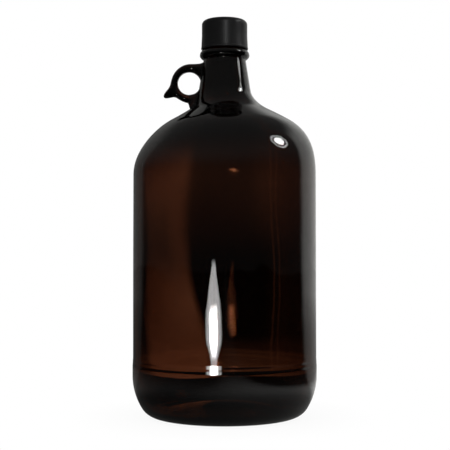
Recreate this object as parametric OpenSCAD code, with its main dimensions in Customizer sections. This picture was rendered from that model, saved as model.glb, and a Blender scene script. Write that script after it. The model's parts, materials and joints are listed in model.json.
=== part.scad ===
// One-gallon amber glass jug with a finger ring and a black screw cap.
// Millimetres, +Z up. The origin is the centre of the foot, on the surface that the jug stands on.
// The finger ring points along -X.

/* [Jug body] */
// Largest outside diameter, at the heel
body_d = 160; // [130:1:190]
// How far the label panel lies below the heel, on the radius
panel_relief = 0.4; // [0.2:0.1:0.8]
// Height where the shoulder starts
shoulder_z = 210; // [150:1:260]
// Radius of the shoulder's curve
shoulder_round = 54; // [45:0.5:60]
// Slope of the upper shoulder, from the vertical
shoulder_slope = 61; // [55:1:65]
// How far the shoulder leans away from the finger ring at its most
shoulder_lean = 5; // [0:0.1:6]
// Thickness of the glass in the body
wall = 3.6; // [3:0.1:4.5]

/* [Foot] */
// How far the bearing ring lies in from the body's side
foot_inset = 22; // [21:0.5:30]
// Width of the bearing ring
foot_w = 6; // [4:0.5:10]
// Height of the push-up in the middle of the base
push_up = 7; // [4:0.5:12]
// Thickness of the base
base_t = 5; // [4:0.5:7]
// Height of the heel, up to the widest part
heel_z = 36; // [30:1:45]

/* [Neck] */
// Step from the finish out to the top of the neck, on the radius
neck_step = 1.138; // [0.6:0.001:3]
// Radius of the hollow curve from the shoulder to the neck
flare_round = 24; // [18:0.5:28]
// Taper of the neck on one side, in degrees
neck_taper = 9; // [4:0.5:10]
// Height of the neck, from its root to the middle of the bead
neck_h = 31; // [27:0.5:40]
// How far the round bead below the cap stands out of the finish
bead_out = 4.25; // [3.8:0.05:5]
// Height of the bead
bead_h = 8.4; // [6:0.1:9]

/* [Threaded finish] */
// Diameter of the mouth
mouth_d = 28; // [24:0.5:29]
// Outside diameter of the glass below the thread
finish_d = 34.9; // [34:0.1:36]
// Height of the finish, from the middle of the bead to the lip
finish_h = 26.5; // [25:0.5:32]
// How far the thread stands out of the glass
thread_depth = 1.2; // [1:0.05:1.3]
// Rise of the thread in one turn
thread_pitch = 4.233; // [4:0.001:4.5]
// Turns of thread on the glass
glass_turns = 1.75; // [1:0.05:2]
// Distance from the lip down to the top of the glass thread
thread_drop = 2.2; // [1.8:0.1:4]

/* [Finger ring] */
// Diameter of the hole for the finger
ring_hole_d = 20; // [17:0.5:24]
// Thickness of the ring, seen from the front
ring_t = 7.2; // [6:0.1:9]
// Width of the ring, from front to back
ring_w = 9.5; // [8:0.1:12]
// Height of the ring's centre above the root of the neck
ring_rise = 6; // [4:0.5:10]
// How far the thumb spur reaches out from the ring's centre
spur_reach = 21.6; // [19:0.1:26]

/* [Cap] */
// Thickness of the cap's skirt, outside its thread
cap_wall = 1.1; // [0.9:0.05:2]
// How far the skirt flares out at its rim, on the radius
cap_flare = 0.65; // [0.3:0.05:1]
// Thickness of the cap's top
cap_top_t = 3; // [1.5:0.1:3.5]
// Radius of the cap's rounded top edge
cap_edge_round = 4.2; // [2:0.1:4.5]
// Turns of thread inside the cap
cap_turns = 1.5; // [1:0.05:1.75]
// Thickness of the foam disc in the cap
liner_t = 1.5; // [1:0.1:2]

/* [Fits] */
// Gap between the glass thread's crest and the cap's wall
crest_gap = 0.2; // [0.15:0.01:0.4]
// Gap between the cap thread's crest and the glass
root_gap = 0.35; // [0.2:0.01:0.5]
// Gap between the two threads' flanks where the cap pulls down
flank_gap = 0.12; // [0.08:0.01:0.3]
// Gap between the foam disc's edge and the cap's wall
liner_gap = 0.5; // [0.3:0.05:0.8]
// Gap between the bead and the cap's rim
rim_gap = 0.6; // [0.4:0.1:2]

/* [Hidden] */
$fn = 96;
BURY = 0.4;        // how deep a piece that joins another is sunk into it
LEDGE = 0.1;       // step between a faceted piece and the turned piece that it runs into
LOFT_SIDES = 48;   // sides of the lofted shoulder
SPUR_SIDES = 20;   // sides of the balls in the spur
ARC_STEPS = 6;     // straight steps in a drawn arc
OVERLAP = 4;       // how far one section of the jug runs into the next
THREAD_STEPS = 36; // steps in one turn of thread

// The jug's outside, from the foot to the lip
body_r = body_d / 2;
panel_r = body_r - panel_relief;
foot_r = body_r - foot_inset;
heel_band_h = 10; // height of the band at full width
panel_step_h = 8; // height over which the band falls back to the label panel
heel_band_z = heel_z + heel_band_h;
panel_z = heel_band_z + panel_step_h;
toe_slope = 32;   // slope of the heel where it turns under into the foot
heel_round = (heel_z - toe_z()) / sin(toe_slope);
shoulder_end_r = panel_r - shoulder_round * (1 - cos(shoulder_slope));
shoulder_end_z = shoulder_z + shoulder_round * sin(shoulder_slope);
finish_r = finish_d / 2;
mouth_r = mouth_d / 2;
bead_r = bead_h / 2;
neck_top_h = neck_h - bead_h * 0.75; // the neck's taper ends inside the bead's lower half
neck_top_r = finish_r + neck_step;
neck_root_r = neck_top_r + neck_top_h * tan(neck_taper);
flare_r = neck_root_r + flare_round * (cos(neck_taper) - cos(shoulder_slope));
flare_z = shoulder_end_z + (shoulder_end_r - flare_r) / tan(shoulder_slope);
neck_root_z = flare_z + flare_round * (sin(shoulder_slope) - sin(neck_taper));
bead_z = neck_root_z + neck_h;
lip_z = bead_z + finish_h;
neck_top_z = neck_root_z + neck_top_h;
neck_wall = neck_top_r - mouth_r; // glass in the neck, from its top to its root
lip_round = min(0.8, 0.3 * (finish_r - mouth_r));
bead_centre_r = finish_r + bead_out - bead_r;
lean_peak = 0.66; // where the shoulder leans most, as a share of its height

// The threads, and the cap around them
thread_r = finish_r + thread_depth;
cap_bore_r = thread_r + crest_gap;
cap_crest_r = finish_r + root_gap;
glass_thread_foot = 1.25; // half the height of the glass thread at its root
glass_thread_top = 0.5;   // half the height of the glass thread at its crest
cap_thread_foot = 0.9;    // half the height of the cap thread at the cap's wall
cap_thread_top = 0.4;     // half the height of the cap thread at its crest
thread_offset = half_height_at(cap_crest_r, finish_r, glass_thread_foot, thread_r, glass_thread_top)
    + cap_thread_top + flank_gap;
glass_thread_z = lip_z - thread_drop - glass_thread_foot - glass_turns * thread_pitch;
cap_thread_start = -200; // angle where the cap's thread starts, below the glass thread's start
liner_z = lip_z;
cap_ceiling_z = liner_z + liner_t;
cap_top_z = cap_ceiling_z + cap_top_t;
cap_rim_z = bead_z + bead_r + rim_gap;
skirt_r = cap_bore_r + cap_wall;
cap_rim_r = skirt_r + cap_flare;
flare_top_z = cap_rim_z + 0.45 * (cap_top_z - cap_rim_z); // the skirt is straight above this
rim_lead_in = 0.6; // chamfer inside the rim

// The finger ring
ring_hole_r = ring_hole_d / 2;
ring_r = ring_hole_r + ring_t;
ring_z = neck_root_z + ring_rise;
ring_x = -(neck_root_r - ring_rise * tan(neck_taper) + ring_hole_r - 0.6);
ring_chamfer = 2.4;
bore_skin = 1;        // glass left between the ring's bars and the bore
spur_tip_r = 2.6;
spur_drop = 0.67;     // how far the spur's tip lies below the ring's centre, as a share of its radius
spur_from = 205;      // where the spur grows out of the ring, as angles around its centre
spur_to = 232;
web_w = ring_w - 1.5;
web_depth = 8;        // how far the web reaches down into the shoulder
web_top = 2;          // how far the web's top lies below the ring's hole

// Where the toe's tighter arc ends and the heel's long arc starts. The toe's arc is tangent to the floor and to the
// heel's arc, so both follow from the foot's radius, the heel's height and the slope where they meet.
function toe_round() = (body_r - foot_r - heel_z * (1 - cos(toe_slope)) / sin(toe_slope))
    / (cos(toe_slope) - (1 - sin(toe_slope)) * (1 - cos(toe_slope)) / sin(toe_slope));
function toe_z() = toe_round() * (1 - sin(toe_slope));

// Half the height of a thread at radius r, between its root and its crest
function half_height_at(r, r0, h0, r1, h1) = h0 + (h1 - h0) * (r - r0) / (r1 - r0);

// Points on an arc about c from angle a to angle b
function arc(c, r, a, b, steps = ARC_STEPS) =
    [for (i = [0:steps]) let (t = a + (b - a) * i / steps) c + r * [cos(t), sin(t)]];

// How far the shoulder's slice at height z lies away from the ring: it grows and dies as squared sines
function lean(z) =
    let (u = (z - shoulder_z) / (neck_root_z - shoulder_z))
    u <= 0 || u >= 1 ? 0
    : u < lean_peak ? shoulder_lean * pow(sin(90 * u / lean_peak), 2)
    : shoulder_lean * pow(cos(90 * (u - lean_peak) / (1 - lean_peak)), 2);

// Glass thickness, level, at the slope a: the wall thickens evenly from the body to the neck
function level_wall(z, a) =
    (wall + (neck_wall - wall) * max(0, z - shoulder_z) / (neck_root_z - shoulder_z)) / cos(a);

// Slices [height, radius, slope] of the shoulder's outside: its arc, its straight flank and the hollow flare
function shoulder_slices(steps) = concat(
    [for (i = [1:steps]) let (a = shoulder_slope * i / steps)
        [shoulder_z + shoulder_round * sin(a), panel_r - shoulder_round * (1 - cos(a)), a]],
    [[(shoulder_end_z + flare_z) / 2, (shoulder_end_r + flare_r) / 2, shoulder_slope]],
    [for (i = [0:steps - 2]) let (a = shoulder_slope + (neck_taper - shoulder_slope) * i / (steps - 2))
        [flare_z + flare_round * (sin(shoulder_slope) - sin(a)),
         flare_r - flare_round * (cos(a) - cos(shoulder_slope)), a]]);

// Outside and inside slices as [height, radius, sideways shift], with ends sunk into the turned pieces
function outside_rings(steps) = concat(
    [for (z = [shoulder_z - OVERLAP, shoulder_z]) [z, panel_r - LEDGE, 0]],
    [for (s = shoulder_slices(steps)) [s[0], s[1] - LEDGE, lean(s[0])]],
    [[neck_root_z + BURY / 2, neck_root_r - 2 * LEDGE, 0]]);
function inside_rings(steps) = concat(
    [for (z = [shoulder_z - OVERLAP, shoulder_z]) [z, panel_r - wall - LEDGE, 0]],
    [for (s = shoulder_slices(steps)) [s[0], s[1] - level_wall(s[0], s[2]) - LEDGE, lean(s[0])]],
    [[neck_root_z + BURY / 2, neck_root_r - level_wall(neck_root_z, neck_taper) - 2 * LEDGE, 0]]);

// A closed solid through level circles, each [height, radius, shift along X]
module loft(rings, sides = LOFT_SIDES) {
    n = len(rings);
    points = [for (q = rings, i = [0:sides - 1]) let (a = 360 * i / sides)
        [q[2] + q[1] * cos(a), q[1] * sin(a), q[0]]];
    skin = [for (k = [0:n - 2], i = [0:sides - 1]) let (j = (i + 1) % sides)
        [k * sides + i, (k + 1) * sides + i, (k + 1) * sides + j, k * sides + j]];
    low = [for (i = [0:sides - 1]) i];
    high = [for (i = [sides - 1:-1:0]) (n - 1) * sides + i];
    polyhedron(points, concat([low, high], skin), convexity = 4);
}

// A right-hand thread whose root lies at radius r0 and crest at r1, rising from height z at angle 0.
// Its ends sink away over a ninth of a turn. The root side is buried in the wall that carries it.
module thread(r0, r1, foot, top, z, from, turns) {
    steps = round(turns * THREAD_STEPS);
    run_out = 4;
    side = r1 > r0 ? 1 : -1;
    sections = [for (i = [0:steps]) let (
        a = from + 360 * turns * i / steps,
        h = z + thread_pitch * a / 360,
        k = min(1, i / run_out, (steps - i) / run_out),
        rc = r0 - side * BURY / 2 + (r1 - r0 + side * BURY / 2) * k,
        rb = r0 - side * BURY)
        for (p = [[rb, -foot], [rc, -top], [rc, top], [rb, foot]])
            [p[0] * cos(a), p[0] * sin(a), h + p[1]]];
    skin = [for (i = [0:steps - 1], e = [0:3]) let (a = 4 * i, f = (e + 1) % 4)
        each [[a + f, a + 4 + e, a + e], [a + 4 + f, a + 4 + e, a + f]]];
    first = [3, 2, 1, 0];
    last = [for (e = [0:3]) 4 * steps + e];
    faces = concat([first, last], skin);
    polyhedron(sections, side > 0 ? faces : [for (q = faces) [q[2], q[1], q[0], if (len(q) > 3) q[3]]],
        convexity = 6);
}

// A rectangle w by t with its corners cut off, centred
module bar_section(w, t, cut = ring_chamfer) {
    polygon([for (c = [[1, 1], [-1, 1], [-1, -1], [1, -1]]) let (first = c[0] * c[1] > 0)
        each [[c[0] * (w / 2 - (first ? 0 : cut)), c[1] * (t / 2 - (first ? cut : 0))],
              [c[0] * (w / 2 - (first ? cut : 0)), c[1] * (t / 2 - (first ? 0 : cut))]]]);
}

// Foot, heel and label panel, turned
module body_outside() {
    rotate_extrude()
        polygon(concat(
            [for (i = [0:ARC_STEPS]) let (t = i / ARC_STEPS) [(foot_r - foot_w) * t, push_up * (1 - t * t)]],
            arc([foot_r, toe_round()], toe_round(), -90, -toe_slope),
            arc([body_r - heel_round, heel_z], heel_round, -toe_slope + toe_slope / ARC_STEPS, 0, ARC_STEPS - 1),
            [[body_r, heel_band_z], [panel_r, panel_z], [panel_r, shoulder_z], [0, shoulder_z]]));
}

// The hollow below the shoulder: the same outline, one wall in, with the base's thickness dying away round the toe
module body_inside() {
    toe_wall = base_t - wall;
    rotate_extrude()
        polygon(concat(
            [for (i = [0:ARC_STEPS]) let (t = i / ARC_STEPS)
                [(foot_r - foot_w) * t, base_t + push_up * (1 - t * t)]],
            [for (i = [0:ARC_STEPS]) let (t = i / ARC_STEPS, a = -90 + (90 - toe_slope) * t)
                [foot_r, toe_round()] + (toe_round() - wall - toe_wall * (1 - t)) * [cos(a), sin(a)]],
            arc([body_r - heel_round, heel_z], heel_round - wall, -toe_slope + toe_slope / ARC_STEPS, 0,
                ARC_STEPS - 1),
            [[body_r - wall, heel_band_z], [panel_r - wall, panel_z], [panel_r - wall, shoulder_z],
             [0, shoulder_z]]));
}

// Neck, bead, finish and lip, turned, with a core that reaches down into the shoulder
module neck_outside() {
    core_r = neck_root_r - 3; // narrower than the shoulder that it reaches into
    rotate_extrude()
        polygon(concat(
            [[0, neck_root_z - OVERLAP], [core_r, neck_root_z - OVERLAP], [core_r, neck_root_z],
             [neck_root_r, neck_root_z], [neck_top_r, neck_top_z], [finish_r, bead_z], [finish_r, lip_z - lip_round]],
            arc([finish_r - lip_round, lip_z - lip_round], lip_round, 22.5, 90, 3),
            [[0, lip_z]]));
    rotate_extrude()
        translate([bead_centre_r, bead_z]) circle(bead_r);
}

// The straight bore of the finish, and the neck's taper below it
module neck_inside() {
    root_inner_r = neck_root_r - level_wall(neck_root_z, neck_taper);
    rotate_extrude()
        polygon([[0, neck_root_z], [root_inner_r, neck_root_z], [mouth_r, neck_top_z],
                 [mouth_r, lip_z - lip_round], [mouth_r + lip_round, lip_z + LEDGE], [0, lip_z + LEDGE]]);
}

// The finger ring: a closed ring, a bar from its top to the neck, a spur for the thumb and a web to the shoulder
module finger_ring() {
    bar_drop = 0.1; // keeps the bar's top just under the ring's, so that the two cross cleanly
    translate([ring_x, 0, ring_z])
        rotate([90, 0, 0])
            rotate_extrude()
                translate([ring_hole_r + ring_t / 2, 0]) bar_section(ring_t, ring_w);
    translate([ring_x, 0, ring_z + ring_r - ring_t / 2 - bar_drop])
        rotate([90, 0, 90])
            linear_extrude(-ring_x - mouth_r - bore_skin) bar_section(ring_w - LEDGE, ring_t);
    hull() {
        translate([ring_x - spur_reach, 0, ring_z - ring_r * spur_drop]) sphere(spur_tip_r, $fn = SPUR_SIDES);
        for (a = [spur_from, spur_to])
            translate([ring_x, 0, ring_z] + (ring_hole_r + ring_t / 2) * [cos(a), 0, sin(a)])
                sphere(ring_t / 2 - LEDGE, $fn = SPUR_SIDES);
    }
    web_x = ring_x + bore_skin;
    web_z = flare_z - web_depth;
    translate([web_x, 0, web_z])
        linear_extrude(ring_z - ring_hole_r - web_top - web_z)
            translate([(-web_x - mouth_r) / 2, 0]) bar_section(-web_x - mouth_r, web_w);
}

module glass_jug() {
    color([0.22, 0.09, 0.04])
        difference() {
            union() {
                body_outside();
                loft(outside_rings(8));
                neck_outside();
                thread(finish_r, thread_r, glass_thread_foot, glass_thread_top, glass_thread_z, 0, glass_turns);
                finger_ring();
            }
            body_inside();
            loft(inside_rings(6));
            neck_inside();
        }
}

module screw_cap() {
    color([0.07, 0.07, 0.07])
        union() {
            rotate_extrude()
                polygon(concat(
                    [[0, cap_ceiling_z], [cap_bore_r, cap_ceiling_z], [cap_bore_r, cap_rim_z + rim_lead_in],
                     [cap_bore_r + rim_lead_in, cap_rim_z], [cap_rim_r, cap_rim_z], [skirt_r, flare_top_z]],
                    arc([skirt_r - cap_edge_round, cap_top_z - cap_edge_round], cap_edge_round, 0, 90),
                    [[0, cap_top_z]]));
            thread(cap_bore_r, cap_crest_r, cap_thread_foot, cap_thread_top,
                glass_thread_z - thread_offset, cap_thread_start, cap_turns);
        }
}

module cap_liner() {
    color([0.9, 0.89, 0.85])
        translate([0, 0, liner_z])
            cylinder(h = liner_t, r = cap_bore_r - liner_gap);
}

glass_jug();
screw_cap();
cap_liner();
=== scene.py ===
import json
import math

import bpy
import numpy as np
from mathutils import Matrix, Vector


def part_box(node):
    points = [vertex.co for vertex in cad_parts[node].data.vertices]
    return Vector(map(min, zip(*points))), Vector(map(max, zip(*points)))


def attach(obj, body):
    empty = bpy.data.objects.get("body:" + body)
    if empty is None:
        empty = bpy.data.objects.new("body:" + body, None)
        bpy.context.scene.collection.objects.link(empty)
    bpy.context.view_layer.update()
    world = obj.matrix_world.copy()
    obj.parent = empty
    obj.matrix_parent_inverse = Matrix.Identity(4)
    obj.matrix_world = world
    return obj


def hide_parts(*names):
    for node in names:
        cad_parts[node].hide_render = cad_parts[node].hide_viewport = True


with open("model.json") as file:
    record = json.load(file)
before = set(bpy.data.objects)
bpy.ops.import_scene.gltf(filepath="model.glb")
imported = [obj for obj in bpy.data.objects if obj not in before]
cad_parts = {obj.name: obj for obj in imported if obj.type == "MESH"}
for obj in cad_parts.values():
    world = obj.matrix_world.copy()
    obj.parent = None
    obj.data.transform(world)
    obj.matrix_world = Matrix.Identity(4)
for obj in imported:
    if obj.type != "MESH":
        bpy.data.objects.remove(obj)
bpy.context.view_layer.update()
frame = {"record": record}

MM = 0.001
TAU = 2 * math.pi

# ---------------------------------------------------------------- sizes

MOUNTS = {mount["name"]: mount for mount in frame["record"]["mounts"]}
JUG_HIGH = np.array(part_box("glass_jug")[1]) / MM
CAP_LOW, CAP_HIGH = (np.array(corner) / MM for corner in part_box("screw_cap"))
LINER_LOW, LINER_HIGH = (np.array(corner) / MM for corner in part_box("cap_liner"))

# Body, from the floor up
BODY_R = JUG_HIGH[0]
PANEL_R = BODY_R - 0.4          # the label panel lies a little below the heel
WALL = 3.6
FOOT_R = BODY_R - 22            # outer edge of the bearing ring
FOOT_W = 6
PUSH_UP = 7
BASE_T = 5
HEEL_Z = 36                     # where the heel reaches full width
HEEL_BAND_Z = HEEL_Z + 10
PANEL_Z = HEEL_BAND_Z + 8
LEDGES = (-1.8, 0.6, 2.1, 4.6)  # two small ledges lead in to the panel, at these heights from the band
TOE_SLOPE = 32                  # degrees below level, from their centres, where toe and heel arcs meet
SHOULDER_Z = 210
SHOULDER_ROUND = 54
SHOULDER_SLOPE = 61             # the straight flank, in degrees from upright
SHOULDER_LEAN = 5               # the shoulder leans away from the ring by this much
LEAN_PEAK = 0.66                # where it leans most, as a share of the shoulder's height

# Neck, bead and threaded finish, from the lip down
LIP_Z = LINER_LOW[2]
BEAD_Z = LIP_Z - 26.5
BEAD_H = 8.4
BEAD_R = BEAD_H / 2
NECK_ROOT_Z = BEAD_Z - 31
NECK_TAPER = 9                  # degrees from upright
FLARE_ROUND = 24
FINISH_R = 17.45
NECK_TOP_R = FINISH_R + 1.138
NECK_TOP_Z = BEAD_Z - BEAD_H * 0.75
MOUTH_R = MOUNTS["mouth"]["dims"]["r_mm"]
LIP_ROUND = 1.1
BEAD_CENTRE_R = FINISH_R + 4.25 - BEAD_R
BEAD_ARC = (-75, 88)            # from its underside round to its top, in degrees
WAIST_IN, WAIST_UP = 0.35, 2.2  # the neck draws in this much, over this height, just under the bead

# How the glass differs from a plain turned shape
SEAM_H, SEAM_W = 0.16, 0.8      # the two mould seams
GRIP_H, GRIP_BARS = 0.35, 55    # the bars round the foot that keep it from sliding
WAVES_START = 20                # the waviness grows over 40 mm from here, and dies out in the shoulder
WAVES_END = SHOULDER_Z + 50

# The two threads
PITCH = 4.233
THREAD_R = MOUNTS["screw_finish"]["dims"]["r_mm"]
GLASS_THREAD = {"foot": 1.25, "top": 0.5, "turns": 1.75, "first": 0.0}
CAP_THREAD = {"foot": 0.9, "top": 0.4, "turns": 1.5, "first": -200 / 360}
GLASS_THREAD_Z = LIP_Z - 2.2 - GLASS_THREAD["foot"] - GLASS_THREAD["turns"] * PITCH
CAP_THREAD_Z = GLASS_THREAD_Z - 1.551

# Cap
CAP_BORE_R = THREAD_R + 0.2
CAP_CREST_R = FINISH_R + 0.35
CAP_RIM_R = CAP_HIGH[0]
CAP_SKIRT_R = CAP_RIM_R - 0.65
CAP_EDGE_ROUND = 4.2

# Finger ring
RING_X, RING_Z = (MOUNTS["finger_ring"]["pos_m"][axis] / MM for axis in (0, 2))
HOLE_R = MOUNTS["finger_ring"]["dims"]["r_mm"]
RING_R = HOLE_R + 7.2           # the ring's outer edge
RING_SHIFT = 1.5                # its centre lies this much nearer the neck than the hole's
RING_W = 9.5
SPUR_REACH = 9.7                # how far the thumb spur stands out of the ring
SPUR_ANGLE = 208.9              # where it stands, round the hole's centre
SPUR_WIDTHS = (11.5, 7)         # degrees in which it falls to half, before and after that angle
WEB_ANGLE, WEB_RUN = 267, 10    # where the web starts, and the degrees over which it grows
WEB_REACH = 14                  # how far out it would go if the glass didn't end it


# ---------------------------------------------------------------- outlines

def arc(centre, radius, start, end, steps=24):
    """Points at the centre plus the radius times (cosine, sine) of an angle that runs evenly from start
    to end, in degrees."""
    a = np.radians(np.linspace(start, end, steps + 1))
    return np.stack([centre[0] + radius * np.cos(a), centre[1] + radius * np.sin(a)], axis=1)


def along(points):
    """Distance along an outline at each of its points: the running sum of its steps."""
    steps = np.hypot(*np.diff(points, axis=0).T)
    return np.concatenate([[0], np.cumsum(steps)])


def evenly(points, step):
    """The same outline with a point every step millimetres."""
    s = along(points)
    at = np.linspace(0, s[-1], int(round(s[-1] / step)) + 1)
    return np.stack([np.interp(at, s, points[:, 0]), np.interp(at, s, points[:, 1])], axis=1)


def softened(points, step, width):
    """The outline as glass or moulded plastic has it: every point is the weighted mean of its neighbours
    within half the width, with weights that fall to nothing as a squared cosine. The ends stay put."""
    half = int(width / step / 2)
    weights = np.cos(np.linspace(-math.pi / 2, math.pi / 2, 2 * half + 3)[1:-1]) ** 2
    weights /= weights.sum()
    before = 2 * points[:1] - points[half:0:-1]
    after = 2 * points[-1:] - points[-2:-half - 2:-1]
    padded = np.concatenate([before, points, after])
    return np.stack([np.convolve(padded[:, k], weights, mode="valid") for k in (0, 1)], axis=1)


def thinned(points, longest, turn, fine=()):
    """Keeps as many points as the shape needs: one for each turn degrees that the outline bends, one at
    least every longest millimetres, and one every step millimetres between each low and high of fine."""
    s = along(points)
    d = np.gradient(points, axis=0)
    bend = np.abs(np.gradient(np.unwrap(np.arctan2(d[:, 1], d[:, 0]))))
    density = np.gradient(s) / longest + np.degrees(bend) / turn
    for low, high, step in fine:
        density += np.gradient(s) / step * ((points[:, 1] > low) & (points[:, 1] < high))
    total = np.concatenate([[0], np.cumsum((density[1:] + density[:-1]) / 2)])
    at = np.interp(np.linspace(0, total[-1], int(total[-1]) + 1), total, s)
    return np.stack([np.interp(at, s, points[:, 0]), np.interp(at, s, points[:, 1])], axis=1)


def lean(z):
    """How far the shoulder's circle at height z lies away from the ring: it grows and dies as squared
    sines."""
    u = (z - SHOULDER_Z) / (NECK_ROOT_Z - SHOULDER_Z)
    rise = np.sin(np.radians(90 * u / LEAN_PEAK)) ** 2
    fall = np.cos(np.radians(90 * (u - LEAN_PEAK) / (1 - LEAN_PEAK))) ** 2
    return SHOULDER_LEAN * np.where((u <= 0) | (u >= 1), 0, np.where(u < LEAN_PEAK, rise, fall))


def heel_arcs():
    """The toe's arc touches the floor at the foot and the heel's arc touches the side, and both have the
    same slope where they meet. Returns their two radii."""
    tan_half = (1 - math.cos(math.radians(TOE_SLOPE))) / math.sin(math.radians(TOE_SLOPE))
    low = 1 - math.sin(math.radians(TOE_SLOPE))
    toe = (BODY_R - FOOT_R - HEEL_Z * tan_half) / (math.cos(math.radians(TOE_SLOPE)) - low * tan_half)
    return toe, (HEEL_Z - toe * low) / math.sin(math.radians(TOE_SLOPE))


def shoulder_outline():
    """Points (radius, height, slope) up the shoulder: its arc, the straight flank, the hollow flare into the
    neck. The slope is in degrees from upright."""
    slope = math.radians(SHOULDER_SLOPE)
    a = np.linspace(0, SHOULDER_SLOPE, 25)
    rad = np.radians(a)
    round_part = np.stack([PANEL_R - SHOULDER_ROUND * (1 - np.cos(rad)),
                           SHOULDER_Z + SHOULDER_ROUND * np.sin(rad), a], axis=1)
    neck_root_r = NECK_TOP_R + (NECK_TOP_Z - NECK_ROOT_Z) * math.tan(math.radians(NECK_TAPER))
    flare_r = neck_root_r + FLARE_ROUND * (math.cos(math.radians(NECK_TAPER)) - math.cos(slope))
    flare_z = NECK_ROOT_Z - FLARE_ROUND * (math.sin(slope) - math.sin(math.radians(NECK_TAPER)))
    b = np.linspace(SHOULDER_SLOPE, NECK_TAPER, 25)
    rad = np.radians(b)
    flare = np.stack([flare_r - FLARE_ROUND * (np.cos(rad) - math.cos(slope)),
                      flare_z + FLARE_ROUND * (math.sin(slope) - np.sin(rad)), b], axis=1)
    return np.concatenate([round_part, flare])


def jug_outlines():
    """The outside from the middle of the base up to the lip, and the inside back down to the middle, as
    points (radius, height)."""
    toe, heel = heel_arcs()
    t = np.linspace(0, 1, 20)[:, None]
    under = np.concatenate([(FOOT_R - FOOT_W) * t, PUSH_UP * (1 - t ** 2)], axis=1)
    shoulder = shoulder_outline()
    ledge_r = (BODY_R + PANEL_R) / 2
    outside = np.concatenate([
        under,
        arc([FOOT_R, toe], toe, -90, -TOE_SLOPE),
        arc([BODY_R - heel, HEEL_Z], heel, -TOE_SLOPE, 0)[1:],
        [[BODY_R, HEEL_BAND_Z + LEDGES[0]], [ledge_r, HEEL_BAND_Z + LEDGES[1]],
         [ledge_r, HEEL_BAND_Z + LEDGES[2]], [PANEL_R, HEEL_BAND_Z + LEDGES[3]]],
        shoulder[:, :2],
        [[NECK_TOP_R, NECK_TOP_Z], [NECK_TOP_R - WAIST_IN, NECK_TOP_Z + WAIST_UP]],
        arc([BEAD_CENTRE_R, BEAD_Z], BEAD_R, *BEAD_ARC),
        [[FINISH_R, BEAD_Z + BEAD_R + 0.4], [FINISH_R, LIP_Z - LIP_ROUND]],
        arc([FINISH_R - LIP_ROUND, LIP_Z - LIP_ROUND], LIP_ROUND, 8, 90, 8)])
    neck_wall = NECK_TOP_R - MOUTH_R
    rise = (shoulder[:, 1] - SHOULDER_Z) / (NECK_ROOT_Z - SHOULDER_Z)
    level_wall = (WALL + (neck_wall - WALL) * rise) / np.cos(np.radians(shoulder[:, 2]))
    inner_shoulder = np.stack([shoulder[:, 0] - level_wall, shoulder[:, 1]], axis=1)[::-1]
    a = np.linspace(-TOE_SLOPE, -90, 25)
    thick = WALL + (BASE_T - WALL) * (-TOE_SLOPE - a) / (90 - TOE_SLOPE)
    inner_toe = np.stack([FOOT_R + (toe - thick) * np.cos(np.radians(a)),
                          toe + (toe - thick) * np.sin(np.radians(a))], axis=1)
    inside = np.concatenate([
        arc([MOUTH_R + LIP_ROUND, LIP_Z - LIP_ROUND], LIP_ROUND, 90, 180, 8),
        [[MOUTH_R, NECK_TOP_Z]],
        inner_shoulder,
        [[PANEL_R - WALL, PANEL_Z], [BODY_R - WALL, HEEL_BAND_Z]],
        arc([BODY_R - heel, HEEL_Z], heel - WALL, 0, -TOE_SLOPE),
        inner_toe[1:],
        under[::-1] + [0, BASE_T]])
    return outside, inside


def thread_height(theta, z, start_z, foot, top, turns, first):
    """How far a right-hand thread stands out, from 0 to 1, at each angle and height. The height above the
    nearest turn of the helix ramps from the thread's foot to its crest, and both ends fade out over a ninth
    of a turn. first is the turn at which the thread begins."""
    fades_a_turn = 9
    above = (z - start_z) / PITCH - theta / TAU
    turn = np.round(above)
    run = theta / TAU + turn - first
    fade = np.clip(np.minimum(run, turns - run) * fades_a_turn, 0, 1)
    flank = np.clip((foot - np.abs(above - turn) * PITCH) / (foot - top), 0, 1)
    return fade * flank * flank * (3 - 2 * flank)


# ---------------------------------------------------------------- meshes

def grid_faces(rows, columns):
    """Quads of a grid whose columns close into a ring."""
    k, i = np.meshgrid(np.arange(rows - 1), np.arange(columns), indexing="ij")
    j = (i + 1) % columns
    return np.stack([k * columns + i, k * columns + j, (k + 1) * columns + j, (k + 1) * columns + i],
                    axis=-1).reshape(-1, 4)


def mesh_piece(name, points, quads, triangles=None):
    """An object at the origin, unturned, from points in millimetres and rows of point numbers."""
    triangles = np.zeros((0, 3), int) if triangles is None else triangles
    mesh = bpy.data.meshes.new(name)
    mesh.vertices.add(len(points))
    mesh.vertices.foreach_set("co", (points * MM).ravel())
    corners = np.concatenate([quads.ravel(), triangles.ravel()])
    sizes = np.concatenate([np.full(len(quads), 4), np.full(len(triangles), 3)])
    mesh.loops.add(len(corners))
    mesh.loops.foreach_set("vertex_index", corners.astype(np.int32))
    mesh.polygons.add(len(sizes))
    mesh.polygons.foreach_set("loop_start", np.concatenate([[0], np.cumsum(sizes)[:-1]]).astype(np.int32))
    mesh.update(calc_edges=True)
    mesh.validate()
    mesh.shade_smooth()
    piece = bpy.data.objects.new(name, mesh)
    bpy.context.scene.collection.objects.link(piece)
    return piece


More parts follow.
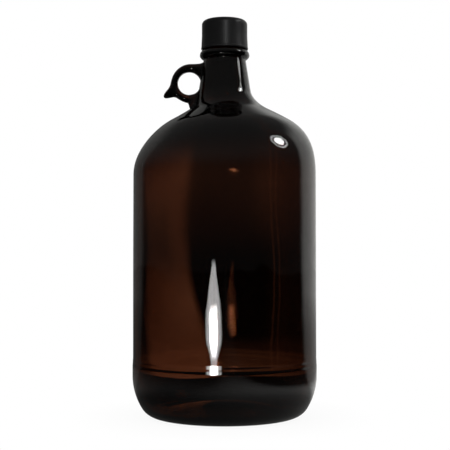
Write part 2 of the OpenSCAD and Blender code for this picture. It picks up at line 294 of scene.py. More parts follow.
def turned(name, radius, height, angles, shift=0):
    """A closed solid of revolution that may be out of round. radius and height are grids with a row for each
    outline point and a column for each angle, shift moves each row along X, and the first and last rows lie
    on the axis and become single points."""
    x = radius * np.cos(angles) + shift
    y = radius * np.sin(angles)
    body = np.stack([x, y, height], axis=-1)[1:-1]
    rows, columns = body.shape[:2]
    poles = np.array([[0, 0, height[0].mean()], [0, 0, height[-1].mean()]])
    points = np.concatenate([body.reshape(-1, 3), poles])
    i = np.arange(columns)
    j = (i + 1) % columns
    first = np.stack([np.full(columns, rows * columns), j, i], axis=1)
    top = (rows - 1) * columns
    last = np.stack([np.full(columns, rows * columns + 1), top + i, top + j], axis=1)
    return mesh_piece(name, points, grid_faces(rows, columns), np.concatenate([first, last]))


def seamed_angles(count, offsets, radius):
    """Angles round the axis: an even set that misses the mould seams at 0 and half a turn, and a few more at
    small offsets to both sides of each seam."""
    even = (np.arange(count) + 0.5) * TAU / count
    near = np.concatenate([-np.array(offsets)[::-1], [0], offsets]) / radius
    return np.sort(np.concatenate([even, near % TAU, near + math.pi]))


def bump_across(distance, width):
    """A low ridge: one in the middle, falling to nothing at the width as a squared cosine."""
    return np.cos(np.clip(distance / width, -1, 1) * math.pi / 2) ** 2


def wave(theta, z, height, lobes, climb, start=0.0):
    """A gentle swell round the glass: its height times the sine of so many lobes round the axis, which wind
    with the height over the climb."""
    return height * np.sin(lobes * theta + z / climb + start)


def glass_body():
    """The jug without its ring, as one closed shell, and its outside and inside outlines. The outside outline
    is turned about the axis, leans at the shoulder, and carries the thread, the two mould seams and the grip
    bars under the foot. Both outlines wave a little, as blown glass does, and the inside more."""
    step = 0.25
    outside, inside = jug_outlines()
    outside = softened(evenly(outside, step), step, width=2.2)
    inside = softened(evenly(inside, step), step, width=3)
    near_ledges = (HEEL_BAND_Z + LEDGES[0] - 1, HEEL_BAND_Z + LEDGES[-1] + 1, 0.5)
    near_thread = (BEAD_Z + BEAD_R, LIP_Z - LIP_ROUND, 0.4)
    outside = thinned(outside, longest=7, turn=4, fine=[near_ledges, near_thread])
    inside = thinned(inside, longest=9, turn=5)
    rows = np.concatenate([outside, inside[1:]])
    rows[[0, -1], 0] = 0
    outer = (np.arange(len(rows)) < len(outside))[:, None]
    r = rows[:, :1]
    z = rows[:, 1:]
    theta = seamed_angles(count=200, offsets=[0.35, 0.8], radius=BODY_R)[None, :]
    thread = thread_height(theta, z, GLASS_THREAD_Z, **GLASS_THREAD) * (THREAD_R - FINISH_R)
    on_finish = outer & (z > BEAD_Z + BEAD_R)
    seam_angle = np.minimum(np.minimum(theta, TAU - theta), np.abs(theta - math.pi))
    seam = SEAM_H * bump_across(seam_angle * BODY_R, SEAM_W)
    on_side = outer & (z > HEEL_Z / 3) & (z < BEAD_Z)
    outer_wave = wave(theta, z, 0.05, 3, 41) + wave(theta, z, 0.04, 5, -29, 2)
    inner_wave = wave(theta, z, 0.35, 2, 70, 1.3) * np.sin(z / 38 + 0.5) + wave(theta, z, 0.18, 5, 23)
    on_panel = np.clip((z - WAVES_START) / 40, 0, 1) * np.clip((WAVES_END - z) / 40, 0, 1)
    radius = r + thread * on_finish + seam * on_side + np.where(outer, outer_wave, inner_wave) * on_panel
    across_foot = bump_across(r - (FOOT_R - FOOT_W / 2), FOOT_W / 2)
    height = z + GRIP_H * across_foot * (0.5 - 0.5 * np.cos(GRIP_BARS * theta)) * (outer & (z < 1))
    return turned("jug_body", radius, height, theta, lean(z)), outside, inside


def finger_ring(outside, inside):
    """The ring as a closed tube round the hole. At each angle round the hole's centre the tube reaches from
    the hole out to the ring's outer edge. That edge is a circle with a spur on one side, a flat top that runs
    to the neck and a web that drops to the shoulder, and it ends halfway into the glass of the neck. The
    section is a rounded box, which widens where it nears the glass."""
    round_hole, round_section = 360, 40
    phi = np.arange(round_hole) * TAU / round_hole
    deg = np.degrees(phi)
    off_spur = (deg - SPUR_ANGLE + 180) % 360 - 180
    spur_width = np.where(off_spur < 0, *SPUR_WIDTHS)
    edge = RING_SHIFT * np.cos(phi) + np.sqrt(RING_R ** 2 - (RING_SHIFT * np.sin(phi)) ** 2)
    spur_power, least_sine = 2.6, 0.2
    edge = edge + SPUR_REACH / (1 + np.abs(off_spur / spur_width) ** spur_power)
    edge = np.where(deg < 90, RING_R / np.maximum(np.sin(phi), least_sine), edge)
    web = np.clip((deg - WEB_ANGLE) / WEB_RUN, 0, 1)
    edge = edge + (deg > 180) * WEB_REACH * web * web * (3 - 2 * web)

    # The edge stops in the middle of the glass wall, which is looked for along each direction from the hole,
    # and is then evened out over seven neighbours
    farthest, tries = 40, 600
    least_width, no_limit = 1.6, 99
    reach = np.linspace(HOLE_R, farthest, tries)
    x = RING_X + reach[None, :] * np.cos(phi)[:, None]
    z = RING_Z + reach[None, :] * np.sin(phi)[:, None]
    upper = outside[:, 1] > SHOULDER_Z
    lower = inside[:, 1] > SHOULDER_Z
    outer_r = np.interp(z, outside[upper, 1], outside[upper, 0])
    inner_r = np.interp(z, inside[lower, 1][::-1], inside[lower, 0][::-1])
    within = (lean(z) - x < outer_r * 0.45 + inner_r * 0.55) & (z < NECK_TOP_Z + 1)
    limit = np.where(within.any(axis=1), reach[np.argmax(within, axis=1)], no_limit)
    edge = np.minimum(edge, np.maximum(limit, HOLE_R + least_width))
    edge = np.convolve(np.concatenate([edge[-3:], edge, edge[:3]]), np.full(7, 1 / 7), mode="valid")

    # The section is squarer where the tube is wide. Near the glass it widens and rises a little
    half = (edge - HOLE_R)[:, None] / 2
    slim, slim_run = 3.8, 3
    rounded, squarer = 2.3, 1.6
    power = 2 / (rounded + np.clip((half - slim) / slim_run, 0, 1) * squarer)
    psi = np.arange(round_section)[None, :] * TAU / round_section
    radial = HOLE_R + half * (1 + np.sign(np.cos(psi)) * np.abs(np.cos(psi)) ** power)
    side = RING_W / 2 * np.sign(np.sin(psi)) * np.abs(np.sin(psi)) ** power
    x = RING_X + radial * np.cos(phi)[:, None]
    z = RING_Z + radial * np.sin(phi)[:, None]
    gap = np.hypot(lean(z) - x, side) - np.interp(z, outside[upper, 1], outside[upper, 0])
    near_falls, widens, rises = 2.2, 0.4, 1.3
    spur_thins, spur_zone = 0.45, 45
    near = np.exp(-np.clip(gap, 0, 30) / near_falls)
    on_spur = (np.abs(off_spur) < spur_zone)[:, None]
    taper = 1 - spur_thins * np.clip((radial - RING_R) / SPUR_REACH, 0, 1) * on_spur
    side = side * taper * (1 + widens * near)
    z = z + rises * near * np.clip((z - RING_Z) / RING_R, 0, 1) ** 4
    points = np.stack([x, side, z], axis=-1).reshape(-1, 3)
    rows, columns = x.shape
    quads = grid_faces(rows, columns)
    k = np.arange(columns)
    last = (rows - 1) * columns
    closing = np.stack([last + k, last + (k + 1) % columns, (k + 1) % columns, k], axis=1)
    return mesh_piece("ring", points, np.concatenate([quads, closing])[:, ::-1])


def joined(piece, other):
    """The two closed shells made one by an exact union. The second object is removed."""
    union = piece.modifiers.new("union", "BOOLEAN")
    union.operation = "UNION"
    union.solver = "EXACT"
    union.object = other
    shape = bpy.data.meshes.new_from_object(piece.evaluated_get(bpy.context.evaluated_depsgraph_get()))
    piece.modifiers.clear()
    piece.data = shape
    bpy.data.objects.remove(other)
    return piece


def make_jug():
    """The glass: the turned shell and the ring, fused as they are in the mould."""
    body, outside, inside = glass_body()
    jug = joined(body, finger_ring(outside, inside))
    jug.name = jug.data.name = "amber_glass_jug"
    jug.data.shade_smooth()
    jug.data.set_sharp_from_angle(angle=math.radians(55))
    return jug


def make_cap():
    """The cap, turned: ceiling, threaded bore, rim, flared skirt, rounded edge and slightly domed top with a
    small gate mark in the middle."""
    step = 0.1
    top_z = CAP_HIGH[2]
    rim_z = CAP_LOW[2]
    ceiling_z = LINER_HIGH[2]
    flare_share = 0.45
    flare_z = rim_z + flare_share * (top_z - rim_z)
    edge_r = CAP_SKIRT_R - CAP_EDGE_ROUND
    dome = 0.35
    t = np.linspace(1, 0, 30)[:, None]
    gate_depth, gate_r = 0.25, 2.2
    gate = gate_depth * bump_across(t * edge_r, gate_r)
    roof = np.concatenate([edge_r * t, top_z - dome * t ** 2 - gate], axis=1)
    lead_in_h, lead_in_w = 0.9, 0.6
    rim_chamfer_h, rim_chamfer_w = 0.5, 0.3
    rim_top, rim_step_top, rim_step = 1.6, 1.9, 0.18
    outline = np.concatenate([
        [[0, ceiling_z], [CAP_BORE_R, ceiling_z],
         [CAP_BORE_R, rim_z + lead_in_h], [CAP_BORE_R + lead_in_w, rim_z],
         [CAP_RIM_R - rim_chamfer_w, rim_z], [CAP_RIM_R, rim_z + rim_chamfer_h], [CAP_RIM_R, rim_z + rim_top],
         [CAP_RIM_R - rim_step, rim_z + rim_step_top], [CAP_SKIRT_R, flare_z]],
        arc([edge_r, top_z - CAP_EDGE_ROUND - dome], CAP_EDGE_ROUND, 0, 90),
        roof[1:]])
    outline = softened(evenly(outline, step), step, width=0.7)
    outline[[0, -1], 0] = 0
    in_thread = (rim_z + 1, ceiling_z - 0.3, 0.9)
    outline = thinned(outline, longest=1.6, turn=6, fine=[in_thread])
    outline[[0, -1], 0] = 0
    r = outline[:, :1]
    z = outline[:, 1:]
    count = 200
    theta = (np.arange(count) * TAU / count)[None, :]
    in_bore = (np.abs(r - CAP_BORE_R) < 0.02) & (z < ceiling_z - 0.2)
    thread = thread_height(theta, z, CAP_THREAD_Z, **CAP_THREAD) * (CAP_BORE_R - CAP_CREST_R)
    radius = r - thread * in_bore
    return turned("moulded_cap", radius, z + 0 * theta, theta)


def make_liner():
    """The foam disc, turned: soft edges, a flat top and a shallow step pressed into its underside by the lip.
    Its edge flutters a little, as a punched one does."""
    step = 0.05
    top_gap = 0.02
    low_z, high_z = LINER_LOW[2], LINER_HIGH[2] - top_gap
    edge_r = LINER_HIGH[0]
    corner = 0.35
    proud = 0.18                # the middle stands this far down into the mouth
    outline = np.concatenate([
        [[0, low_z - proud], [MOUTH_R + 0.1, low_z - proud], [MOUTH_R + 0.6, low_z], [FINISH_R - 0.5, low_z]],
        arc([edge_r - corner, low_z + corner], corner, -90, 0, 8),
        arc([edge_r - corner, high_z - corner], corner, 0, 90, 8),
        [[0, high_z]]])
    outline = thinned(softened(evenly(outline, step), step, width=0.4), longest=1.2, turn=9)
    outline[[0, -1], 0] = 0
    count = 128
    theta = (np.arange(count) * TAU / count)[None, :]
    flutter = 1 + 0.0015 * np.sin(7 * theta) + 0.001 * np.sin(11 * theta + 1)
    return turned("foam_disc", outline[:, :1] * flutter, outline[:, 1:] + 0 * theta, theta)


# ---------------------------------------------------------------- materials

def link(tree, source, target):
    """Joins a node's output to another's input."""
    tree.links.new(source, target)


def place(tree, kind, **values):
    """A node of that kind, with its settings and its sockets' plain values. An underscore stands for the space
    in a socket's name."""
    node = tree.nodes.new(kind)
    for name, value in values.items():
        socket = node.inputs.get(name.replace("_", " "))
        if socket is None:
            setattr(node, name, value)
        else:
            socket.default_value = value
    return node


def set_plain(node, **values):
    """Sets the node's sockets to plain values. An underscore stands for the space in a socket's name."""
    for name, value in values.items():
        node.inputs[name.replace("_", " ")].default_value = value


def maths(tree, operation, first, second):
    """The result of an operation on two values, each of them a node's output or a plain number."""
    node = place(tree, "ShaderNodeMath", operation=operation)
    for socket, value in zip(node.inputs, (first, second)):
        if isinstance(value, bpy.types.NodeSocket):
            link(tree, value, socket)
        else:
            socket.default_value = value
    return node.outputs[0]


def summed(tree, total, *others):
    """All the values added up."""
    for other in others:
        total = maths(tree, "ADD", total, other)
    return total


def times(tree, product, *others):
    """All the values multiplied."""
    for other in others:
        product = maths(tree, "MULTIPLY", product, other)
    return product


def mixed(tree, factor, low, high):
    """Runs evenly from low to high as the factor runs from 0 to 1."""
    node = place(tree, "ShaderNodeMapRange", clamp=True, To_Min=low, To_Max=high)
    link(tree, factor, node.inputs["Value"])
    return node.outputs["Result"]


def ramp(tree, value, start, end, low=0.0, high=1.0):
    """Runs smoothly from low to high as the value runs from start to end."""
    node = place(tree, "ShaderNodeMapRange", interpolation_type="SMOOTHSTEP",
                 From_Min=start, From_Max=end, To_Min=low, To_Max=high)
    link(tree, value, node.inputs["Value"])
    return node.outputs["Result"]


def effect(name, inputs, outputs):
    """An empty node group with named inputs and number outputs. Each input has its usual number, or None where
    it takes coordinates. Returns the tree, what the group is given and what it puts out."""
    tree = bpy.data.node_groups.new(name, "ShaderNodeTree")
    for label, value in inputs.items():
        kind = "NodeSocketVector" if value is None else "NodeSocketFloat"
        socket = tree.interface.new_socket(label, in_out="INPUT", socket_type=kind)
        if value is not None:
            socket.default_value = value
    for label in outputs:
        tree.interface.new_socket(label, in_out="OUTPUT", socket_type="NodeSocketFloat")
    return tree, tree.nodes.new("NodeGroupInput").outputs, tree.nodes.new("NodeGroupOutput").inputs


def handling_effect():
    """Where hands, cloths and dust have been. Smudges are broad soft patches: the high part of a noise. Specks
    are small sparse dots: the near part of the distance to scattered points."""
    tree, given, out = effect("handling", {"Vector": None, "Size": 20.0, "Amount": 0.5}, ["Smudges", "Specks"])
    smudge_starts, smudge_full = 0.5, 0.75
    specks_finer = 14.0
    speck_edge, speck_full = 0.12, 0.04
    broad = place(tree, "ShaderNodeTexNoise", Detail=5.0, Roughness=0.6, Distortion=0.8)
    link(tree, given["Vector"], broad.inputs["Vector"])
    link(tree, given["Size"], broad.inputs["Scale"])
    patches = ramp(tree, broad.outputs[0], smudge_starts, smudge_full)
    link(tree, times(tree, patches, given["Amount"]), out["Smudges"])
    dots = place(tree, "ShaderNodeTexVoronoi", feature="F1")
    link(tree, given["Vector"], dots.inputs["Vector"])
    link(tree, times(tree, given["Size"], specks_finer), dots.inputs["Scale"])
    small = ramp(tree, dots.outputs["Distance"], speck_edge, speck_full)
    link(tree, times(tree, small, given["Amount"]), out["Specks"])
    return tree


def skin_effect():
    """The skin that a mould leaves: Height adds a broad waviness and a fine grain, each in its own amount."""
    sizes = {"Vector": None, "Wave Scale": 12.0, "Wave": 1.0, "Grain Scale": 900.0, "Grain": 0.1}
    tree, given, out = effect("mould skin", sizes, ["Height"])
    parts = []
    for name, detail in (("Wave", 1.0), ("Grain", 3.0)):
        noise = place(tree, "ShaderNodeTexNoise", Detail=detail)
        link(tree, given["Vector"], noise.inputs["Vector"])
        link(tree, given[name + " Scale"], noise.inputs["Scale"])
        parts.append(times(tree, noise.outputs[0], given[name]))
    link(tree, summed(tree, *parts), out["Height"])
    return tree


def material(name, kind):
    """A new material with one shader of that kind as its surface. Returns the material, its node tree, the
    shader and the object coordinates."""
    made = bpy.data.materials.new(name)
    made.use_nodes = True
    tree = made.node_tree
    tree.nodes.clear()
    out = place(tree, "ShaderNodeOutputMaterial")
    shader = place(tree, kind)
    link(tree, shader.outputs[0], out.inputs["Surface"])
    return made, tree, shader, place(tree, "ShaderNodeTexCoord").outputs["Object"]


def output_of(tree, name):
    """The input of that name on the tree's output node."""
    return tree.get_output_node("ALL").inputs[name]


def use_effect(tree, group, where, **values):
    """The effect placed in a material with its own values, on those coordinates."""
    node = place(tree, "ShaderNodeGroup", node_tree=group)
    set_plain(node, **values)
    link(tree, where, node.inputs["Vector"])
    return node.outputs


def tinted(tree, factor, plain, marked, surface):
    """Colours the surface plain where the factor is nothing and marked where it is one."""
    blend = place(tree, "ShaderNodeMix", data_type="RGBA")
    share, first, second = (blend.inputs[k] for k in (0, 6, 7))  # the sockets that its colour kind uses
    first.default_value = (*plain, 1)
    second.default_value = (*marked, 1)
    link(tree, factor, share)
    link(tree, blend.outputs[2], surface.inputs["Base Color"])


def bumped(tree, height, surface, depth):
    """Feeds a height into the surface as a bump of that depth in metres."""
    bump = place(tree, "ShaderNodeBump", Strength=1.0, Distance=depth)
    link(tree, height, bump.inputs["Height"])
    link(tree, bump.outputs[0], surface.inputs["Normal"])


def amber_glass(handling, skin):
    """Dark amber bottle glass: clear at the surface, with the colour in its depth. The surface waves a little
    and is dulled a little where hands have been."""
    made, tree, surface, where = material("amber bottle glass", "ShaderNodeBsdfPrincipled")
    set_plain(surface, Transmission_Weight=1.0, IOR=1.52, Base_Color=(1, 1, 1, 1))
    marks = use_effect(tree, handling, where, Size=9.0, Amount=0.6)
    clean, dulled = 0.012, 0.05
    link(tree, mixed(tree, marks["Smudges"], clean, dulled), surface.inputs["Roughness"])
    ripple = use_effect(tree, skin, where, Wave_Scale=26.0, Wave=1.0, Grain_Scale=420.0, Grain=0.01)
    bumped(tree, ripple["Height"], surface, 0.0003)
    depth = place(tree, "ShaderNodeVolumeAbsorption", Color=(0.435, 0.238, 0.095, 1), Density=780.0)
    link(tree, depth.outputs[0], output_of(tree, "Volume"))
    return made


def black_plastic(handling, skin):
    """Satin black moulded plastic: a fine grain, duller where it has been handled, with a little pale dust."""
    made, tree, surface, where = material("satin black moulded plastic", "ShaderNodeBsdfPrincipled")
    marks = use_effect(tree, handling, where, Size=60.0, Amount=0.7)
    black, dusty = (0.004, 0.004, 0.0042), (0.012, 0.0115, 0.011)
    tinted(tree, marks["Specks"], black, dusty, surface)
    satin, dulled = 0.36, 0.52
    link(tree, mixed(tree, marks["Smudges"], satin, dulled), surface.inputs["Roughness"])
    set_plain(surface, Specular_IOR_Level=0.2)
    grain = use_effect(tree, skin, where, Wave_Scale=160.0, Wave=0.6, Grain_Scale=2600.0, Grain=0.35)
    bumped(tree, grain["Height"], surface, 0.00006)
    return made


def liner_foam(handling, skin):
    """Off-white foam with a closed skin: small cells, and a little yellowed where it has been used."""
    made, tree, surface, where = material("off-white liner foam", "ShaderNodeBsdfPrincipled")
    marks = use_effect(tree, handling, where, Size=90.0, Amount=0.8)
    clean, yellowed = (0.78, 0.76, 0.70), (0.62, 0.55, 0.42)
    tinted(tree, marks["Smudges"], clean, yellowed, surface)
    set_plain(surface, Roughness=0.75)
    cells = use_effect(tree, skin, where, Wave_Scale=700.0, Wave=1.0, Grain_Scale=3000.0, Grain=0.5)
    bumped(tree, cells["Height"], surface, 0.00012)
    return made


# ---------------------------------------------------------------- studio
# Lengths here are in metres, and a turn is in radians away from +Y. A window is given by its low and high
# edge and how soft they are, and a ramp by where it starts and ends and its values there.

def window(tree, value, low, high, soft):
    """One between low and high, with soft edges, else nothing."""
    return times(tree, ramp(tree, value, low - soft, low + soft), ramp(tree, value, high + soft, high - soft))


def parts_of(tree, vector):
    """The vector's three parts, by name."""
    split = place(tree, "ShaderNodeSeparateXYZ")
    link(tree, vector, split.inputs[0])
    return split.outputs


def turn_of(tree, parts):
    """The turn of a direction or place, from its parts."""
    return maths(tree, "ARCTAN2", parts["X"], parts["Y"])


def length_of(tree, vector):
    """How long the vector is."""
    node = place(tree, "ShaderNodeVectorMath", operation="LENGTH")
    link(tree, vector, node.inputs[0])
    return node.outputs["Value"]


def on_rays(tree, ray, otherwise, seen):
    """The second shader for that kind of ray and the first for all others."""
    choose = place(tree, "ShaderNodeMixShader")
    link(tree, place(tree, "ShaderNodeLightPath").outputs[ray], choose.inputs[0])
    link(tree, otherwise, choose.inputs[1])
    link(tree, seen, choose.inputs[2])
    return choose.outputs[0]


def backdrop(tree, turn):
    """How bright the pale backdrop is in the glass at each turn. It stands wide on the right and is dimmer on
    the left."""
    right, right_light = (0.14, 1.20, 0.10), 0.62
    left, left_light = (-1.0, -0.16, 0.10), 0.10
    return summed(tree, times(tree, window(tree, turn, *right), right_light),
                  times(tree, window(tree, turn, *left), left_light))


def seen_through(tree, turn):
    """How bright the studio is through the glass at each turn: pale, and dimmer on the camera's side."""
    far_side, far_light, all_round = (-1.9, 1.9, 0.3), 0.45, 0.25
    return summed(tree, times(tree, window(tree, turn, *far_side), far_light), all_round)


def studio_world():
    """A white studio. What the glass mirrors is a pale backdrop to the left and right of the jug, in a room
    that is dim overhead and dark on the camera's side. What shows through the glass is pale all round, and
    dark overhead."""
    world = bpy.data.worlds.new("studio")
    world.use_nodes = True
    tree = world.node_tree
    tree.nodes.clear()
    out = place(tree, "ShaderNodeOutputWorld")
    parts = parts_of(tree, place(tree, "ShaderNodeTexCoord").outputs["Generated"])
    turn, upwards = turn_of(tree, parts), parts["Z"]
    backdrop_height = (-0.3, 0.62, 0.12)
    overhead = (0.05, 0.6, 0.03, 0.12)
    dark_overhead = (0.12, 0.35, 1.0, 0.02)
    sides = times(tree, backdrop(tree, turn), window(tree, upwards, *backdrop_height))
    mirrored = place(tree, "ShaderNodeBackground", Color=(1, 1, 0.97, 1))
    link(tree, summed(tree, sides, ramp(tree, upwards, *overhead)), mirrored.inputs["Strength"])
    through = place(tree, "ShaderNodeBackground", Color=(1, 0.98, 0.95, 1))
    lit = times(tree, seen_through(tree, turn), ramp(tree, upwards, *dark_overhead))
    link(tree, lit, through.inputs["Strength"])
    soft = place(tree, "ShaderNodeBackground", Color=(1, 1, 1, 1), Strength=0.7)
    white = place(tree, "ShaderNodeBackground", Color=(1, 1, 1, 1), Strength=1.0)
    seen = on_rays(tree, "Is Glossy Ray", soft.outputs[0], mirrored.outputs[0])
    seen = on_rays(tree, "Is Transmission Ray", seen, through.outputs[0])
    seen = on_rays(tree, "Is Camera Ray", seen, white.outputs[0])
    link(tree, seen, out.inputs["Surface"])
    bpy.context.scene.world = world


def flat_card(name, corners, shader, hidden=()):
    """A flat four-cornered card of the studio, hidden from those kinds of ray."""
    mesh = bpy.data.meshes.new(name)
    mesh.from_pydata(corners, [], [(0, 1, 2, 3)])
    card = bpy.data.objects.new(name, mesh)
    bpy.context.scene.collection.objects.link(card)
    mesh.materials.append(shader)
    for ray in hidden:
        setattr(card, "visible_" + ray, False)


def upright_corners(left, right, y, low, high):
    """The corners of a card that stands across +Y."""
    return [(left, y, low), (right, y, low), (right, y, high), (left, y, high)]


def clear_where_dark(tree, lamp):
    """The card glows where it is lit and is clear where it isn't."""
    both = place(tree, "ShaderNodeAddShader")
    link(tree, lamp.outputs[0], both.inputs[0])
    link(tree, place(tree, "ShaderNodeBsdfTransparent").outputs[0], both.inputs[1])
    link(tree, both.outputs[0], output_of(tree, "Surface"))


def pale_floor():
    """A pale floor without edges. It is white to the camera but for a faint soft shadow round the jug. Through
    the glass it is dark close to the jug, as painted shade, and straight behind it, and as bright as the
    studio further out.
    What the glass mirrors of it is the backdrop's foot and a pale foreground on the right, which is painted
    light, darkened close to the jug as painted shade."""
    made, tree, lamp, where = material("pale floor", "ShaderNodeEmission")
    shade = place(tree, "ShaderNodeAmbientOcclusion", Distance=0.06, samples=6)
    link(tree, mixed(tree, shade.outputs["AO"], 0.93, 1.0), lamp.inputs["Strength"])
    parts = parts_of(tree, where)
    turn, distance, across = turn_of(tree, parts), length_of(tree, where), parts["X"]

    straight_behind, behind_ends = (-0.55, 0.55, 0.12), (0.5, 1.2, 1.0, 0.0)
    # Painted shade: through the glass the floor is dark close to the jug and only brightens from 0.11 m to
    # 0.30 m out.
    light_starts, behind_light = (0.11, 0.30, 0.03, 1.0), (0.0, 1.0, 1.0, 0.02)
    behind = times(tree, window(tree, turn, *straight_behind), ramp(tree, distance, *behind_ends))
    lit = times(tree, seen_through(tree, turn), ramp(tree, distance, *light_starts),
                ramp(tree, behind, *behind_light))
    through = place(tree, "ShaderNodeEmission", Color=(1, 0.97, 0.93, 1))
    link(tree, lit, through.inputs["Strength"])

    # In the glass's mirror the floor is darkened close to the jug as painted shade (jug_shades), and the pale
    # foreground on the right is painted light on the floor.
    backdrop_foot, jug_shades = (0.5, 3.0, 0.45, 0.95), (0.09, 0.17, 0.35, 1.0)
    front_brightens, front_ends = (-0.12, 0.12, 0.10, 0.42), (0.14, 0.26, 1.0, 0.1)
    front_fades = (0.15, 0.6, 1.0, 0.07)
    sides = times(tree, backdrop(tree, turn), ramp(tree, distance, *backdrop_foot))
    front = times(tree, ramp(tree, across, *front_brightens), ramp(tree, across, *front_ends),
                  ramp(tree, distance, *front_fades))
    mirror = place(tree, "ShaderNodeEmission", Color=(1, 1, 0.97, 1))
    shining = times(tree, summed(tree, sides, front), ramp(tree, distance, *jug_shades))
    link(tree, shining, mirror.inputs["Strength"])

    seen = on_rays(tree, "Is Glossy Ray", lamp.outputs[0], mirror.outputs[0])
    seen = on_rays(tree, "Is Transmission Ray", seen, through.outputs[0])
    link(tree, seen, output_of(tree, "Surface"))
    reach = 8
    flat_card("floor", [(-reach, -reach, 0), (reach, -reach, 0), (reach, reach, 0), (-reach, reach, 0)], made)


def back_card():
    """A card close behind the jug that only shows through the glass: warm and pale on the left up to a soft
    edge that curves in at the bottom, dim at the top and along the foot, and black on the rest, with a few
    faint upright streaks on the right."""
    made, tree, lamp, where = material("back card", "ShaderNodeEmission")
    parts = parts_of(tree, where)
    x, z = parts["X"], parts["Z"]

    edge_curves_in, left_side = (0.0, 0.13, 0.018, 0.046), (-0.080, 0.0, 0.008)
    left_dims, left_ends = (0.08, 0.14, 1.2, 0.72), (0.235, 0.30, 1.0, 0.0)
    shade_height, shade_fades = (0.12, 0.205, 0.03), (-0.078, -0.052, 0.5, 0.0)
    left = window(tree, summed(tree, x, ramp(tree, z, *edge_curves_in)), *left_side)
    left = times(tree, left, ramp(tree, z, *left_dims), ramp(tree, z, *left_ends))
    shade = times(tree, window(tree, z, *shade_height), ramp(tree, x, *shade_fades))
    left = times(tree, left, ramp(tree, shade, 0.0, 1.0, 1.0, 0.0))

    top_starts, top_ends = (0.13, 0.235, 0.0, 1.0), (0.22, 0.33, 1.0, 0.0)
    top_widens = (0.0004, 0.003, 0.26, 0.5)
    top = times(tree, ramp(tree, z, *top_starts), ramp(tree, z, *top_ends),
                ramp(tree, times(tree, x, x), *top_widens))
    foot = ramp(tree, z, 0.002, 0.05, 0.75, 0.0)

    streak_light, streak_side = (0.55, 0.75, 0.03, 0.30), (0.055, 0.085, 0.006)
    noise = place(tree, "ShaderNodeTexNoise", noise_dimensions="1D", Scale=220.0, Detail=1.0)
    link(tree, x, noise.inputs["W"])
    streaks = times(tree, ramp(tree, noise.outputs[0], *streak_light), window(tree, x, *streak_side))

    link(tree, summed(tree, left, top, foot, streaks), lamp.inputs["Strength"])
    set_plain(lamp, Color=(1, 0.93, 0.86, 1))
    corners = upright_corners(-0.25, 0.25, 0.30, 0.001, 0.6)
    flat_card("back card", corners, made, ("camera", "glossy", "diffuse", "shadow"))


def tall_lamp():
    """A tall soft lamp low on the left of the camera, with a flame's outline: widest and brightest below its
    middle, narrow and dim at the top. Across it, a place is judged by its share of the flame's half width."""
    made, tree, lamp, where = material("tall lamp", "ShaderNodeEmission")
    parts = parts_of(tree, where)
    x, z = parts["X"], parts["Z"]
    middle_x, half_width = -0.106, 0.092
    opens, closes = (0.004, 0.045, 0.35, 1.0), (0.05, 0.142, 1.0, 0.22)
    core_share, core_height, core_light = (-0.42, 0.42, 0.12), (0.022, 0.070, 0.010), 75.0
    flame_share, flame_height, flame_light = (-0.85, 0.85, 0.15), (0.008, 0.134, 0.006), 8.0
    outline = times(tree, ramp(tree, z, *opens), ramp(tree, z, *closes), half_width)
    share = maths(tree, "DIVIDE", summed(tree, x, -middle_x), outline)
    core = times(tree, window(tree, share, *core_share), window(tree, z, *core_height), core_light)
    flame = times(tree, window(tree, share, *flame_share), window(tree, z, *flame_height), flame_light)
    link(tree, summed(tree, core, flame), lamp.inputs["Strength"])
    clear_where_dark(tree, lamp)
    corners = upright_corners(-0.20, -0.01, -0.49, 0.004, 0.155)
    flat_card("tall lamp", corners, made, ("camera", "diffuse", "shadow"))


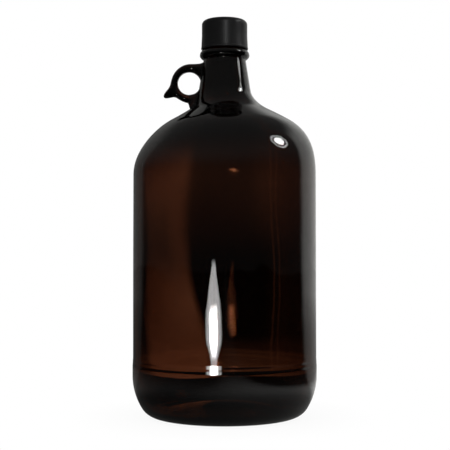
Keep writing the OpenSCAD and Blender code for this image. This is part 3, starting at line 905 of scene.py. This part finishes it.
def dish_lamp():
    """An oval dish lamp high on the right, turned to the jug's shoulder and leaning to one side: a bright
    middle, a dark gap and a dimmer outer ring."""
    made, tree, lamp, where = material("dish lamp", "ShaderNodeEmission")
    centre = np.array([0.930, -0.142, 0.902])
    shoulder = np.array([0.045, -0.06, 0.233])
    half_card, length, breadth, tilt = 0.28, 1.10, 0.92, -0.95
    core, core_light = (-1, 0.120, 0.014), 22.0
    ring, ring_light = (0.166, 0.205, 0.012), 6.5
    towards = shoulder - centre
    towards /= np.linalg.norm(towards)
    side = np.cross(towards, [0, 0, 1])
    side /= np.linalg.norm(side)
    up = np.cross(side, towards)
    lengthwise = np.cos(tilt) * side + np.sin(tilt) * up
    crosswise = np.cos(tilt) * up - np.sin(tilt) * side
    offset = place(tree, "ShaderNodeVectorMath", operation="SUBTRACT")
    link(tree, where, offset.inputs[0])
    offset.inputs[1].default_value = tuple(centre)
    flat = place(tree, "ShaderNodeCombineXYZ")
    for axis, name in ((lengthwise / length, "X"), (crosswise / breadth, "Y")):
        part = place(tree, "ShaderNodeVectorMath", operation="DOT_PRODUCT")
        link(tree, offset.outputs[0], part.inputs[0])
        part.inputs[1].default_value = tuple(axis)
        link(tree, part.outputs["Value"], flat.inputs[name])
    radius = length_of(tree, flat.outputs[0])
    bright = times(tree, window(tree, radius, *core), core_light)
    dim = times(tree, window(tree, radius, *ring), ring_light)
    link(tree, summed(tree, bright, dim), lamp.inputs["Strength"])
    clear_where_dark(tree, lamp)
    places = ((-1, -1), (1, -1), (1, 1), (-1, 1))
    corners = [tuple(centre + half_card * (a * side + b * up)) for a, b in places]
    flat_card("dish lamp", corners, made, ("camera", "shadow"))


def strip_lamp(lit):
    """A narrow upright lamp above the camera that lights only the piece it is given, as a flag lets it."""
    data = bpy.data.lights.new("strip lamp", "AREA")
    data.shape = "RECTANGLE"
    data.size = 0.10
    data.size_y = 0.75
    data.energy = 5.0
    lamp = bpy.data.objects.new("strip lamp", data)
    bpy.context.scene.collection.objects.link(lamp)
    lamp.location = (0.17, -1.5, 0.70)
    lamp.rotation_euler = (math.radians(76), 0, math.radians(6.5))
    lamp.visible_camera = False
    lamp.visible_transmission = False
    only = bpy.data.collections.new("lit by the strip lamp")
    only.objects.link(lit)
    lamp.light_linking.receiver_collection = only


def camera():
    """A long lens a little below the jug's middle height, level but for a slight tilt up."""
    data = bpy.data.cameras.new("camera")
    data.sensor_width = 36
    data.lens = 84.8
    tilt_up = 1.6
    made = bpy.data.objects.new("camera", data)
    bpy.context.scene.collection.objects.link(made)
    made.location = (0.00035, -0.927, 0.140)
    made.rotation_euler = (math.radians(90 + tilt_up), 0, 0)
    bpy.context.scene.camera = made


# ---------------------------------------------------------------- the scene

scene = bpy.context.scene
scene.view_settings.view_transform = "Standard"
scene.cycles.max_bounces = 24
scene.cycles.transmission_bounces = 20
scene.cycles.glossy_bounces = 8
scene.cycles.diffuse_bounces = 3
scene.cycles.caustics_reflective = False
scene.cycles.caustics_refractive = False

handling = handling_effect()
skin = skin_effect()

PIECES = [
    (make_jug, amber_glass, "jug", "glass_jug", "amber_glass"),
    (make_cap, black_plastic, "cap", "screw_cap", "black_plastic"),
    (make_liner, liner_foam, "liner", "cap_liner", "liner_foam"),
]
for make, finish, body, node, slot in PIECES:
    piece = make()
    piece.data.materials.clear()
    piece.data.materials.append(finish(handling, skin))
    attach(piece, body)
    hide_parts(node)

studio_world()
strip_lamp(bpy.data.objects["moulded_cap"])
pale_floor()
back_card()
tall_lamp()
dish_lamp()
camera()
